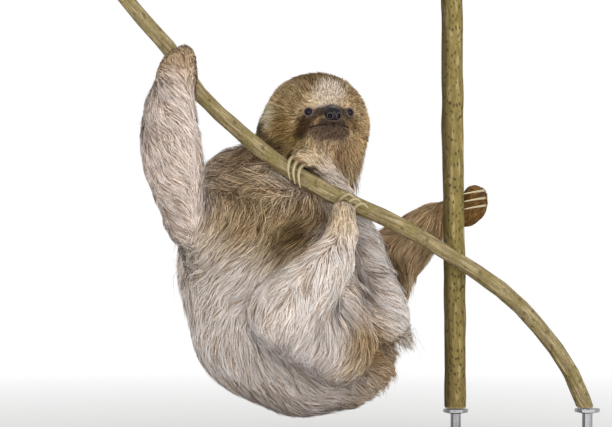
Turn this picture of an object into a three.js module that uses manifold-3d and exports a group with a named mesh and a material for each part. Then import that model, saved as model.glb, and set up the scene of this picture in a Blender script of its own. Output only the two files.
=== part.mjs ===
// A three-toed sloth, life size, that clings to a slanting vine and to an upright stem.
// Millimetres, +Z up. X runs along the vine towards its low end, and the animal's right side faces -Y.
// The bodies include the coat, out to the tips of its hair.
import * as THREE from "three";
import { mergeVertices } from "three/addons/utils/BufferGeometryUtils.js";
import Module from "manifold-3d";

const wasm = await Module();
wasm.setup();

// ---- driving dimensions -------------------------------------------------------------------------------
const GAP = 0.5; // clearance between two nodes that touch
const GROWN = 0.8; // how far a neighbour is grown before it cuts a limb
const TRUNK_DETAIL = 6; // how often the ball of the trunk is divided
const HEAD_DETAIL = 6; // the same for the head
const LIMB_SIDES = 12; // facets round an arm or a leg

const BASE = { length: 450, depth: 240, thickness: 18, corner: 30, bevel: 2, x: 68, y: 22 };
const ROD = { radius: 5, flange: 12, flangeHeight: 3 };

const VINE_RADIUS = 8;
const VINE_SWELL = 1.2; // a knot, midway
const KNOT = { middle: 0.45, width: 0.05 }; // as shares of the vine's length
const VINE_GROOVE = 0.3;
const VINE_END = { low: 52, high: 447 }; // heights of its two sawn ends
const POST = { x: 141.5, y: 20.8, lean: 4, radius: 10.9, low: 50, high: 447 };

const EYE_RADIUS = 5.2;
const CLAW_TIP = 0.6; // radius of a claw's point

const HEAD = { x: 10.4, y: 46.5, z: 324, yaw: 15, pitch: 8, radius: 50.5 };

// The chain of each body: where a form's centre lies, and its radius with the coat.
const SPINE = {
  sacrum: [37, 64, 99, 47],
  pelvis: [0, 52, 102, 60],
  loin: [-37, 50, 130, 72],
  thorax: [-46, 52, 188, 76],
  chest: [-50, 57, 245, 65],
};
const NECK = {
  root: [-22, 57, 250, 54],
  middle: [3, 58, 277, 48],
  top: [8, 54, 304, 44],
};
const TRUNK_MIDDLE = [-30, 52, 160];
const TAIL = { root: [52, 66, 88, 15], tip: [73, 66, 72, 9] };
const RIGHT_ARM = {
  shoulder: [-32, 14, 240, 30],
  elbow: [-109, -56, 224, 22],
  midForearm: [-125, -46, 292, 30],
  aboveWrist: [-128, -34, 333, 26],
  wrist: [-122.5, -19, 362, 22],
  knuckles: [-119.5, -3, 383, 16.5],
};
const LEFT_ARM = {
  shoulder: [11, 96, 222, 28],
  elbow: [80, 30, 134, 22],
  midForearm: [66, 36, 180, 18],
  aboveVine: [53, 31, 218, 15.5],
  behindVine: [32, 24, 251, 13.5],
  wrist: [12, 12, 287, 13.5],
  hand: [1, 5, 291, 11.5],
  knuckles: [-10, -3, 289, 8],
};
const RIGHT_LEG = {
  hip: [28, 10, 108, 38],
  knee: [-25, -53, 144, 33],
  shank: [17, -44, 184, 27],
  ankle: [33, -26, 214, 18.5],
  toes: [35, -14, 238, 12],
};
const LEFT_LEG = {
  hip: [34, 86, 118, 36],
  knee: [96, 104, 200, 30],
  shank: [118, 82, 225, 22],
  ankle: [142, 58, 239, 15],
  sole: [161, 48, 238, 14],
  toes: [164, 46, 254, 12],
};

// ---- small helpers ------------------------------------------------------------------------------------
const V = (x, y, z) => new THREE.Vector3(x, y, z);
const place = (form) => V(form[0], form[1], form[2]);
const along = (a, b, t) => a.clone().lerp(b, t);
const radians = THREE.MathUtils.degToRad;
const smooth = (t) => THREE.MathUtils.smoothstep(t, 0, 1);

const COLOURS = {
  coat: "#b7a896",
  coatBrown: "#86714e",
  face: "#9a8465",
  claw: "#d9cbb0",
  dark: "#1a1512",
  bark: "#8f7c50",
  base: "#57534d",
  steel: "#9a9c9e",
};

function material(colour, roughness, metalness = 0) {
  return new THREE.MeshStandardMaterial({ color: colour, roughness, metalness });
}

// ---- soft bodies --------------------------------------------------------------------------------------
// Distance from p to a tapered rod with round ends, from form a to form b.
function rodDistance(p, a, b) {
  const from = place(a);
  const axis = place(b).sub(from);
  const offset = p.clone().sub(from);
  const t = THREE.MathUtils.clamp(offset.dot(axis) / axis.lengthSq(), 0, 1);
  return offset.addScaledVector(axis, -t).length() - (a[3] + t * (b[3] - a[3]));
}

function softMin(a, b, blend) {
  const h = Math.max(0, blend - Math.abs(a - b)) / blend;
  return Math.min(a, b) - h * h * blend * 0.25;
}

// The body of a chain of forms, each joined to the next by a tapered rod.
function chainField(forms, blend) {
  const list = Object.values(forms);
  return (p) => {
    let d = rodDistance(p, list[0], list[1]);
    for (let i = 1; i + 1 < list.length; i++) d = softMin(d, rodDistance(p, list[i], list[i + 1]), blend);
    return d;
  };
}

// A ball whose skin is drawn out from centre, in every direction, to where field = level.
function roundBody(field, centre, detail, level = 0) {
  const ball = weld(new THREE.IcosahedronGeometry(1, detail));
  const position = ball.getAttribute("position");
  for (let i = 0; i < position.count; i++) {
    const ray = V().fromBufferAttribute(position, i).normalize();
    let inside = 0;
    let outside = 260;
    while (outside - inside > 1e-3) {
      const middle = (inside + outside) / 2;
      if (field(centre.clone().addScaledVector(ray, middle)) < level) inside = middle;
      else outside = middle;
    }
    const p = centre.clone().addScaledVector(ray, inside);
    position.setXYZ(i, p.x, p.y, p.z);
  }
  return ball;
}

// Drops the doubled vertices of a three.js shape, so that it is one closed surface.
function weld(geometry) {
  const bare = new THREE.BufferGeometry();
  bare.setAttribute("position", geometry.getAttribute("position"));
  if (geometry.index) bare.setIndex(geometry.index);
  const merged = mergeVertices(bare, 1e-3);
  const kept = [];
  const order = merged.index.array;
  for (let i = 0; i < order.length; i += 3) {
    const [a, b, c] = order.slice(i, i + 3);
    if (a !== b && b !== c && c !== a) kept.push(a, b, c);
  }
  merged.setIndex(kept);
  return merged;
}

// ---- solids: joining and cutting ----------------------------------------------------------------------
function toSolid(geometry) {
  const mesh = new wasm.Mesh({
    numProp: 3,
    vertProperties: new Float32Array(geometry.getAttribute("position").array),
    triVerts: new Uint32Array(geometry.index.array),
  });
  return new wasm.Manifold(mesh);
}

function toGeometry(solid) {
  const mesh = solid.getMesh();
  const geometry = new THREE.BufferGeometry();
  geometry.setAttribute("position", new THREE.Float32BufferAttribute(mesh.vertProperties, 3));
  geometry.setIndex(new THREE.Uint32BufferAttribute(mesh.triVerts, 1));
  geometry.computeVertexNormals();
  return geometry;
}

const biggest = (solid) => solid.decompose().reduce((a, b) => (a.volume() > b.volume() ? a : b));

// Parts a solid at a plane: [the side that normal points to, the other side], a thin cut apart.
function part(solid, point, normal) {
  const n = normal.clone().normalize();
  const d = n.dot(point);
  const front = solid.trimByPlane([n.x, n.y, n.z], d + GAP / 2);
  const back = solid.trimByPlane([-n.x, -n.y, -n.z], -d + GAP / 2);
  return [front, back];
}

// ---- rods, stems and claws ----------------------------------------------------------------------------
// A closed round bar along a curve, whose radius at u (0 to 1) is radiusAt(u, angle), with a ring of
// vertices at each of the stops.
function bar(curve, radiusAt, stops, sides) {
  const fine = 200;
  const frames = curve.computeFrenetFrames(fine, false);
  const positions = [];
  const index = [];
  stops.forEach((u, i) => {
    const centre = curve.getPointAt(THREE.MathUtils.clamp(u, 0, 1));
    const frame = Math.round(THREE.MathUtils.clamp(u, 0, 1) * fine);
    for (let s = 0; s < sides; s++) {
      const angle = (s / sides) * 2 * Math.PI;
      const r = radiusAt(u, angle);
      const p = centre.clone();
      p.addScaledVector(frames.normals[frame], r * Math.cos(angle));
      p.addScaledVector(frames.binormals[frame], r * Math.sin(angle));
      positions.push(p.x, p.y, p.z);
      if (i + 1 === stops.length) continue;
      const a = i * sides + s;
      const b = i * sides + ((s + 1) % sides);
      index.push(a, b, b + sides, a, b + sides, a + sides);
    }
  });
  const first = positions.length / 3;
  const lastRing = (stops.length - 1) * sides;
  positions.push(...curve.getPointAt(0).toArray(), ...curve.getPointAt(1).toArray());
  for (let s = 0; s < sides; s++) {
    const t = (s + 1) % sides;
    index.push(first, t, s);
    index.push(first + 1, lastRing + s, lastRing + t);
  }
  const geometry = new THREE.BufferGeometry();
  geometry.setAttribute("position", new THREE.Float32BufferAttribute(positions, 3));
  geometry.setIndex(index);
  geometry.computeVertexNormals();
  return geometry;
}

const evenStops = (count) => Array.from({ length: count + 1 }, (_, i) => i / count);

// A closed bar through a chain of forms, with round ends, grown by level.
function roundedBar(chain, level, sides, rings) {
  const centres = chain.map(place);
  const run = [0];
  for (let i = 1; i < chain.length; i++) run.push(run[i - 1] + centres[i].distanceTo(centres[i - 1]));
  const length = run[run.length - 1];
  const startRadius = chain[0][3];
  const endRadius = chain[chain.length - 1][3];
  const startDirection = centres[0].clone().sub(centres[1]).normalize();
  const endDirection = centres[centres.length - 1].clone().sub(centres[centres.length - 2]).normalize();
  const path = new THREE.CatmullRomCurve3(
    [
      centres[0].clone().addScaledVector(startDirection, startRadius + level),
      ...centres,
      centres[centres.length - 1].clone().addScaledVector(endDirection, endRadius + level),
    ],
    false,
    "centripetal",
  );
  const total = path.getLength();
  const radiusAt = (u) => {
    const s = u * total - startRadius - level;
    const i = Math.max(1, Math.min(chain.length - 1, run.findIndex((r) => r >= s)));
    const t = THREE.MathUtils.clamp((s - run[i - 1]) / (run[i] - run[i - 1]), 0, 1);
    const full = chain[i - 1][3] + smooth(t) * (chain[i][3] - chain[i - 1][3]) + level;
    const past = s < 0 ? -s / (startRadius + level) : (s - length) / (endRadius + level);
    return full * Math.sqrt(1 - THREE.MathUtils.clamp(past, 0, 0.9999) ** 2);
  };
  const ends = 3;
  const stops = [];
  const capStop = (i) => 1 - Math.cos((i * Math.PI) / 2 / ends);
  for (let i = 0; i < ends; i++) stops.push((startRadius + level) * capStop(i));
  for (let i = 0; i <= rings; i++) stops.push(startRadius + level + (i / rings) * length);
  for (let i = ends - 1; i >= 0; i--) stops.push(total - (endRadius + level) * capStop(i));
  return bar(path, radiusAt, stops.map((stop) => stop / total), sides);
}

// A claw: a hook from its root in the toe, over its crown, down to its point.
const clawCurve = (points) => new THREE.CatmullRomCurve3(points, false, "centripetal");

function claw({ curve, radius }, extra = 0) {
  const radiusAt = (u) => CLAW_TIP + (radius - CLAW_TIP) * (1 - u) ** 0.75 + extra;
  return bar(curve, radiusAt, evenStops(6), 5);
}

// ---- the perch ----------------------------------------------------------------------------------------
// The vine runs down in one slow bend, steeper at both ends.
const VINE_PATH = [
  V(-182, 0, 455),
  V(-155, 0, 421),
  V(-125, 0, 387),
  V(-101, 0, 350),
  V(-61, 0, 313),
  V(-29, 0, 287),
  V(13, 0, 261),
  V(51, 0, 243),
  V(89, 0, 226),
  V(150, 0, 189),
  V(186, 0, 164),
  V(221, 0, 129),
  V(253, 0, 83),
  V(271, 0, 36),
];
const vineCurve = new THREE.CatmullRomCurve3(VINE_PATH, false, "centripetal");
const vineRadius = (extra) => (u, angle) => {
  const knot = VINE_SWELL * Math.exp(-(((u - KNOT.middle) / KNOT.width) ** 2));
  const groove = VINE_GROOVE * Math.sin(2 * angle + 31 * u); // turns slowly round the vine
  return VINE_RADIUS + knot + groove + extra;
};

function vineSolid(extra) {
  const whole = toSolid(bar(vineCurve, vineRadius(extra), evenStops(24), 8));
  return whole.trimByPlane([0, 0, 1], VINE_END.low).trimByPlane([0, 0, -1], -VINE_END.high);
}

const postCurve = new THREE.LineCurve3(
  V(POST.x + POST.lean / 2, POST.y, POST.low),
  V(POST.x - POST.lean / 2, POST.y, POST.high),
);
const postRadius = (extra) => (u, angle) =>
  POST.radius + 0.35 * Math.sin(23 * u) + 0.25 * Math.sin(3 * angle + 9 * u) + extra;

const vine = vineSolid(0);
const grownVine = vineSolid(GAP);
const grownPost = toSolid(bar(postCurve, postRadius(GAP), evenStops(6), 11));
const post = toSolid(bar(postCurve, postRadius(0), evenStops(6), 11)).subtract(grownVine);

// ---- the head -----------------------------------------------------------------------------------------
const yaw = radians(HEAD.yaw);
const pitch = radians(HEAD.pitch);
const headCentre = V(HEAD.x, HEAD.y, HEAD.z);
const forward = V(Math.sin(yaw) * Math.cos(pitch), -Math.cos(yaw) * Math.cos(pitch), Math.sin(pitch));
const leftward = V(Math.cos(yaw), Math.sin(yaw), 0);
const upward = forward.clone().cross(leftward);

// A point of the head: mm to the animal's left, forward from the middle of the skull, and up.
function headPoint(left, ahead, up) {
  const p = headCentre.clone();
  return p.addScaledVector(leftward, left).addScaledVector(forward, ahead).addScaledVector(upward, up);
}
const headForm = (left, ahead, up, radius) => [...headPoint(left, ahead, up).toArray(), radius];

const FACE = {
  skull: [headForm(-3, -6, 1, HEAD.radius - 1), headForm(1, 1, 0, HEAD.radius)],
  cheekRight: [headForm(-24, 4, -8, 30), headForm(-20, 14, -12, 26)],
  cheekLeft: [headForm(20, 4, -8, 30), headForm(17, 14, -12, 26)],
  muzzle: [headForm(0, 34, -7, 20), headForm(0, 49, -5.5, 13)],
  chin: [headForm(0, 30, -16, 17), headForm(0, 46, -13, 11)],
  nape: [headForm(-34, -20, -12, 24), headForm(-26, -14, -38, 26)],
};

function headField(p) {
  let d = rodDistance(p, ...FACE.skull);
  d = softMin(d, rodDistance(p, ...FACE.cheekRight), 10);
  d = softMin(d, rodDistance(p, ...FACE.cheekLeft), 10);
  d = softMin(d, rodDistance(p, ...FACE.chin), 6);
  d = softMin(d, rodDistance(p, ...FACE.muzzle), 7);
  return softMin(d, rodDistance(p, ...FACE.nape), 12);
}

const EYES = {
  eye_right: headPoint(-19.3, 43.3, 2.6),
  eye_left: headPoint(19.3, 43.3, 2.6),
};
const NOSE = headPoint(0, 59.5, -1);

// ---- trunk, neck, tail and head -----------------------------------------------------------------------
const spineField = chainField(SPINE, 20);
const tailField = (p) => rodDistance(p, TAIL.root, TAIL.tip);
const trunkField = (p) => softMin(spineField(p), tailField(p), 12);

const trunkWhole = toSolid(roundBody(trunkField, V(...TRUNK_MIDDLE), TRUNK_DETAIL));
const trunkGrown = toSolid(roundBody(trunkField, V(...TRUNK_MIDDLE), TRUNK_DETAIL, GROWN));
const headWhole = toSolid(roundBody(headField, headPoint(0, 16, 0), HEAD_DETAIL));
const headGrown = toSolid(roundBody(headField, headPoint(0, 16, 0), HEAD_DETAIL, GROWN));

const tailAxis = place(TAIL.tip).sub(place(TAIL.root));
const [tailPiece, trunkPiece] = part(trunkWhole, along(place(TAIL.root), place(TAIL.tip), 0.35), tailAxis);
const neckWhole = toSolid(roundedBar(Object.values(NECK), 0, 12, 4));
const neckGrown = toSolid(roundedBar(Object.values(NECK), GROWN, 12, 4));

// An eyeball and the opening in the coat that shows it.
function eyeball(centre, radius, wide, high) {
  const ball = new THREE.SphereGeometry(radius, wide, high);
  ball.rotateX(Math.PI / 2);
  ball.translate(centre.x, centre.y, centre.z);
  return ball;
}

function noseGeometry(extra) {
  const pad = new THREE.SphereGeometry(1, 12, 6);
  pad.scale(5.4 + extra, 9 + extra, 8.2 + extra);
  const turn = new THREE.Matrix4().makeBasis(forward, leftward, upward);
  pad.applyMatrix4(turn);
  pad.translate(NOSE.x, NOSE.y, NOSE.z);
  return pad;
}

let headPiece = headWhole;
for (const centre of Object.values(EYES)) {
  const opening = along(centre, centre.clone().addScaledVector(forward, 4), 1);
  headPiece = headPiece.subtract(toSolid(weld(eyeball(centre, EYE_RADIUS + GAP, 8, 6))));
  headPiece = headPiece.subtract(toSolid(weld(eyeball(opening, EYE_RADIUS + GAP, 8, 6))));
}
headPiece = headPiece.subtract(toSolid(weld(noseGeometry(GAP))));
headPiece = headPiece.subtract(grownVine);
const neckPiece = neckWhole.subtract(trunkGrown).subtract(headGrown).subtract(grownVine);
const torsoGrown = trunkGrown.add(headGrown).add(neckGrown);

// ---- claws --------------------------------------------------------------------------------------------
// Each hand and foot has three, side by side: the first one's hook, and the step to the next.
const CLAW_ROWS = {
  // over the top of the vine and down its far side
  claw_hand_right: {
    hook: [V(-115, -1, 395), V(-117, 10, 392), V(-127, 12.5, 383), V(-133, 6, 379)],
    step: V(4, 0, -5.4),
    radius: 2.7,
  },
  // over the top of the vine and down its near side
  claw_hand_left: {
    hook: [V(-9, -4, 292), V(-14.7, -10, 289), V(-17.1, -12, 279.5), V(-15, -8, 268.5)],
    step: V(4.9, 0, -3.9),
    radius: 2.7,
  },
  // from below, bent over the near side of the vine
  claw_foot_right: {
    hook: [V(29.5, -11, 246), V(34, -12.5, 251.5), V(41, -11.8, 255.4), V(46.4, -10.6, 250.6)],
    step: V(6.2, -1.1, -4.4),
    radius: 3,
  },
  // round the upright stem from its far side
  claw_foot_left: {
    hook: [V(172, 38, 259), V(169.5, 22, 258.7), V(160, 12.5, 257.3), V(150, 7.5, 255.4)],
    step: V(0.5, 0, -7.2),
    radius: 2,
  },
};
const claws = {};
for (const [name, { hook, step, radius }] of Object.entries(CLAW_ROWS))
  for (let n = 0; n < 3; n++) {
    const curve = clawCurve(hook.map((p) => p.clone().addScaledVector(step, n)));
    claws[`${name}_${n + 1}`] = { curve, radius };
  }

const clawSolids = Object.values(claws).map((hook) => toSolid(claw(hook, GAP)));
const allClaws = clawSolids.reduce((a, b) => a.add(b));

// ---- arms and legs ------------------------------------------------------------------------------------
// A limb is a row of segments, each a bar through some of its forms. Neighbours meet at the plane that
// halves their bend, and the limb is clear of the bodies beside it, of the perch and of its own claws.
function limbSegments(forms, parts, level) {
  return parts.map((keys) => {
    const chain = keys.map((key) => forms[key]);
    return toSolid(roundedBar(chain, level, LIMB_SIDES, 3 * (chain.length - 1)));
  });
}

// The plane between two segments that share a joint: where it is, and which way the limb runs there.
function jointPlane(forms, before, after) {
  const joint = place(forms[after[0]]);
  const into = joint.clone().sub(place(forms[before[before.length - 2]])).normalize();
  const outOf = place(forms[after[1]]).sub(joint).normalize();
  return [joint, into.add(outOf)];
}

function cutLimb(forms, parts, ...neighbours) {
  const solids = limbSegments(forms, parts, 0);
  for (let i = 0; i + 1 < solids.length; i++) {
    const plane = jointPlane(forms, parts[i], parts[i + 1]);
    solids[i] = part(solids[i], ...plane)[1];
    solids[i + 1] = part(solids[i + 1], ...plane)[0];
  }
  return solids.map((solid) => {
    for (const neighbour of neighbours) solid = solid.subtract(neighbour);
    return biggest(solid.subtract(grownVine).subtract(grownPost).subtract(allClaws));
  });
}

const limbGrown = (forms, parts) => limbSegments(forms, parts, GROWN).reduce((a, b) => a.add(b));

const RIGHT_ARM_PARTS = [
  ["shoulder", "elbow"],
  ["elbow", "midForearm", "aboveWrist", "wrist"],
  ["wrist", "knuckles"],
];
const LEFT_ARM_PARTS = [
  ["shoulder", "elbow"],
  ["elbow", "midForearm", "aboveVine", "behindVine", "wrist"],
  ["wrist", "hand", "knuckles"],
];
const RIGHT_LEG_PARTS = [
  ["hip", "knee"],
  ["knee", "shank", "ankle"],
  ["ankle", "toes"],
];
const LEFT_LEG_PARTS = [
  ["hip", "knee"],
  ["knee", "shank", "ankle"],
  ["ankle", "sole", "toes"],
];

const leftArmGrown = limbGrown(LEFT_ARM, LEFT_ARM_PARTS);
const rightLegGrown = limbGrown(RIGHT_LEG, RIGHT_LEG_PARTS);
const limbs = {
  arm_left: cutLimb(LEFT_ARM, LEFT_ARM_PARTS, torsoGrown),
  arm_right: cutLimb(RIGHT_ARM, RIGHT_ARM_PARTS, torsoGrown, leftArmGrown, rightLegGrown),
  leg_right: cutLimb(RIGHT_LEG, RIGHT_LEG_PARTS, torsoGrown, leftArmGrown),
  leg_left: cutLimb(LEFT_LEG, LEFT_LEG_PARTS, torsoGrown, leftArmGrown, rightLegGrown),
};
const SEGMENT_NAMES = {
  arm: ["upper_arm", "forearm", "hand"],
  leg: ["thigh", "shank", "foot"],
};

// ---- the stand ----------------------------------------------------------------------------------------
function baseGeometry() {
  const x = BASE.length / 2 - BASE.bevel;
  const y = BASE.depth / 2 - BASE.bevel;
  const r = BASE.corner - BASE.bevel;
  const outline = new THREE.Shape();
  outline.moveTo(-x + r, -y);
  outline.lineTo(x - r, -y);
  outline.absarc(x - r, -y + r, r, -Math.PI / 2, 0);
  outline.lineTo(x, y - r);
  outline.absarc(x - r, y - r, r, 0, Math.PI / 2);
  outline.lineTo(-x + r, y);
  outline.absarc(-x + r, y - r, r, Math.PI / 2, Math.PI);
  outline.lineTo(-x, -y + r);
  outline.absarc(-x + r, -y + r, r, Math.PI, 1.5 * Math.PI);
  return new THREE.ExtrudeGeometry(outline, {
    depth: BASE.thickness - 2 * BASE.bevel,
    bevelThickness: BASE.bevel,
    bevelSize: BASE.bevel,
    bevelSegments: 1,
    curveSegments: 3,
  });
}

// A rod with a flange at its foot and a saucer under the sawn end of the perch.
function rodGeometry(height) {
  const { radius, flange, flangeHeight } = ROD;
  const profile = [
    [0, 0],
    [flange, 0],
    [flange, flangeHeight],
    [radius, flangeHeight + 1.5],
    [radius, height - flangeHeight - 1.5],
    [flange, height - flangeHeight],
    [flange, height],
    [0, height],
  ];
  const lathe = new THREE.LatheGeometry(profile.map(([x, y]) => new THREE.Vector2(x, y)), 12);
  return lathe.rotateX(Math.PI / 2);
}

// ---- the scene ----------------------------------------------------------------------------------------
const sloth = new THREE.Group();

function addNode(name, geometry, look, x = 0, y = 0, z = 0) {
  const mesh = new THREE.Mesh(geometry, look);
  mesh.name = name;
  mesh.position.set(x, y, z);
  sloth.add(mesh);
}

addNode("head", toGeometry(biggest(headPiece)), material(COLOURS.face, 0.95));
addNode("neck", toGeometry(biggest(neckPiece)), material(COLOURS.coatBrown, 0.95));
const trunkClear = biggest(trunkPiece.subtract(headGrown).subtract(grownVine));
addNode("trunk", toGeometry(trunkClear), material(COLOURS.coat, 0.95));
addNode("tail", toGeometry(biggest(tailPiece)), material(COLOURS.coatBrown, 0.95));
for (const [limb, solids] of Object.entries(limbs)) {
  const [kind, side] = limb.split("_");
  solids.forEach((solid, n) => {
    addNode(`${SEGMENT_NAMES[kind][n]}_${side}`, toGeometry(solid), material(COLOURS.coat, 0.95));
  });
}
for (const [name, centre] of Object.entries(EYES))
  addNode(name, eyeball(V(0, 0, 0), EYE_RADIUS, 12, 8), material(COLOURS.dark, 0.1), ...centre.toArray());
addNode("nose_pad", noseGeometry(0), material(COLOURS.dark, 0.5));
for (const [name, hook] of Object.entries(claws)) addNode(name, claw(hook), material(COLOURS.claw, 0.5));

addNode("perch_vine", toGeometry(vine), material(COLOURS.bark, 0.85));
addNode("perch_post", toGeometry(post), material(COLOURS.bark, 0.85));

const floorTop = BASE.thickness;
addNode("stand_base", baseGeometry(), material(COLOURS.base, 0.6), BASE.x, BASE.y, BASE.bevel);
const vineFoot = vineCurve.getPointAt(1).lerp(vineCurve.getPointAt(0.97), 0.6);
addNode(
  "stand_rod_vine",
  rodGeometry(VINE_END.low - floorTop - 2 * GAP),
  material(COLOURS.steel, 0.35, 1),
  vineFoot.x,
  0,
  floorTop + GAP,
);
addNode(
  "stand_rod_post",
  rodGeometry(POST.low - floorTop - 2 * GAP),
  material(COLOURS.steel, 0.35, 1),
  POST.x + POST.lean / 2,
  POST.y,
  floorTop + GAP,
);

export default sloth;
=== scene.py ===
"""A three-toed sloth that clings to a vine and to an upright stem, life size, on a display stand.

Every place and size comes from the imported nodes. One skin is drawn from the distance field of all the flesh,
a coat depth inside it. The coat is solid tapered tufts that are led over the skin along the lie of the hair.
"""
import math

import bmesh
import bpy
import numpy as np
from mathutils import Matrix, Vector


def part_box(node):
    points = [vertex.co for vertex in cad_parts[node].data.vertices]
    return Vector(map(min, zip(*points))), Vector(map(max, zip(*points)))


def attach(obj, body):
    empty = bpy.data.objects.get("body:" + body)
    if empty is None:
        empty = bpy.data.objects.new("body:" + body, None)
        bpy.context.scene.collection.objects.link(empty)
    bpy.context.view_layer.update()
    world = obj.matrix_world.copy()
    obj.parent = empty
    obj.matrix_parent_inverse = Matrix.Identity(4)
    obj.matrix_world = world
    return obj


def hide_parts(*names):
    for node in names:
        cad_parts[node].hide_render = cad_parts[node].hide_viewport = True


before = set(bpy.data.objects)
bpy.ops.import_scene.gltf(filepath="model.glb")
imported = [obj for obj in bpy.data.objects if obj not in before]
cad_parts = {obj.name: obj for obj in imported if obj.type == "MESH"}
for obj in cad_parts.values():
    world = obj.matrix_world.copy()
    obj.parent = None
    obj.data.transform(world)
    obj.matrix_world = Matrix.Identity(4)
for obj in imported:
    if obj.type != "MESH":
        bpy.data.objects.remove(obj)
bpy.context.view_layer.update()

import openvdb
from mathutils import Vector
from mathutils.kdtree import KDTree

SCENE = bpy.context.scene
MM = 0.001
rng = np.random.default_rng(11)

SIDES = ("right", "left")  # the animal's own
CLAWS = [f"claw_{end}_{side}_{i}" for end in ("hand", "foot") for side in SIDES for i in (1, 2, 3)]
LIMB = ("upper_arm", "forearm", "hand", "thigh", "shank", "foot")
LIMBS = [f"{part}_{side}" for side in SIDES for part in LIMB]
FLESH = ["head", "neck", "trunk", "tail"] + LIMBS
HEAD_PIECES = ["eye_right", "eye_left", "nose_pad"]

VOXEL = 2.5 * MM  # of the skin's distance field
COARSE_VOXEL = 5 * MM  # of the fields that tell which node is near
HARD_VOXEL = 1.5 * MM  # of the field that keeps tufts clear of claws, eyes, nose and perch
NOSE_VOXEL = 0.35 * MM
BARK_VOXEL = 0.9 * MM
MARGIN = 45 * MM  # of the fields round their nodes
THIN = 0.0075  # reach of a field on each side of its surface
GAP = 1.0 * MM  # cuts narrower than twice this are closed in the skin


# ---- vectors ----
def norm(v):
    return np.linalg.norm(v, axis=-1)


def unit(v):
    v = np.asarray(v, float)
    return v / np.maximum(norm(v)[..., None], 1e-12)


def dot(a, b):
    return (a * b).sum(-1, keepdims=True)


def flat_to(v, n):
    """v without its part along the unit vector n."""
    return v - n * dot(v, n)


def step(low, high, x):
    """From 0 at low to 1 at high, smooth between them and level beyond. low may be the greater."""
    t = np.clip((x - low) / (high - low), 0, 1)
    return t * t * (3 - 2 * t)


def fade(distance, soft):
    """1 inside an edge, 0 outside, over a soft band on both sides of it."""
    return step(soft / 2, -soft / 2, distance)


def mix(a, b, share):
    return a + (b - a) * share


def linear(rgb):
    """sRGB 0-255 to linear 0-1."""
    c = np.asarray(rgb, float) / 255
    return np.where(c <= 0.04045, c / 12.92, ((c + 0.055) / 1.055) ** 2.4)


RIPPLE_WAVES = 7
RIPPLE_HEIGHT = 2.6  # of their sum


def ripple(p, size, seed):
    """Smooth noise, about -1 to 1, whose waves are about size long."""
    waves = np.random.default_rng(seed)
    total = np.zeros(len(p))
    for _ in range(RIPPLE_WAVES):
        direction = unit(waves.normal(size=3)) * waves.uniform(0.7, 1.5)
        total += np.sin(p @ direction * (2 * math.pi / size) + waves.uniform(0, 2 * math.pi))
    return total / RIPPLE_HEIGHT


def ripple3(p, size, seed):
    return np.stack([ripple(p, size, seed + k) for k in (0, 101, 202)], -1)


# ---- meshes and nodes ----
def vertices_of(mesh):
    points = np.empty(len(mesh.vertices) * 3, np.float32)
    mesh.vertices.foreach_get("co", points)
    return points.reshape(-1, 3).astype(float)


def triangles_of(mesh):
    mesh.calc_loop_triangles()
    corners = np.empty(len(mesh.loop_triangles) * 3, np.int32)
    mesh.loop_triangles.foreach_get("vertices", corners)
    return corners.reshape(-1, 3)


def move(mesh, points):
    mesh.vertices.foreach_set("co", points.astype(np.float32).ravel())


def smooth(mesh):
    mesh.polygons.foreach_set("use_smooth", np.ones(len(mesh.polygons), bool))


def into_scene(name, data):
    made = bpy.data.objects.new(name, data)
    SCENE.collection.objects.link(made)
    return made


def link(name, mesh):
    piece = into_scene(name, mesh)
    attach(piece, "root")
    return piece


def mesh_from_work(name, work):
    mesh = bpy.data.meshes.new(name)
    work.to_mesh(mesh)
    work.free()
    return mesh


def mesh_from(name, points, quads):
    mesh = bpy.data.meshes.new(name)
    mesh.from_pydata(points.tolist(), [], quads.tolist())
    smooth(mesh)
    return mesh


def paint(mesh, colours):
    """Linear colours, one to a vertex."""
    layer = mesh.color_attributes.new("tint", "FLOAT_COLOR", "POINT")
    rgba = np.concatenate([colours, np.ones((len(colours), 1))], 1)
    layer.data.foreach_set("color", rgba.astype(np.float32).ravel())


def mesh_of(node):
    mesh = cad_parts[node].data
    return vertices_of(mesh).astype(np.float32), triangles_of(mesh).astype(np.uint32)


def centre(node):
    low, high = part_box(node)
    return np.array((low + high) / 2)


def meeting(a, b):
    """The middle of the place where two nodes meet."""
    p, q = mesh_of(a)[0], mesh_of(b)[0]
    gap = norm(p[:, None] - q[None]).min(1)
    return p[gap < max(4 * MM, gap.min() * 1.5)].mean(0).astype(float)


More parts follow.
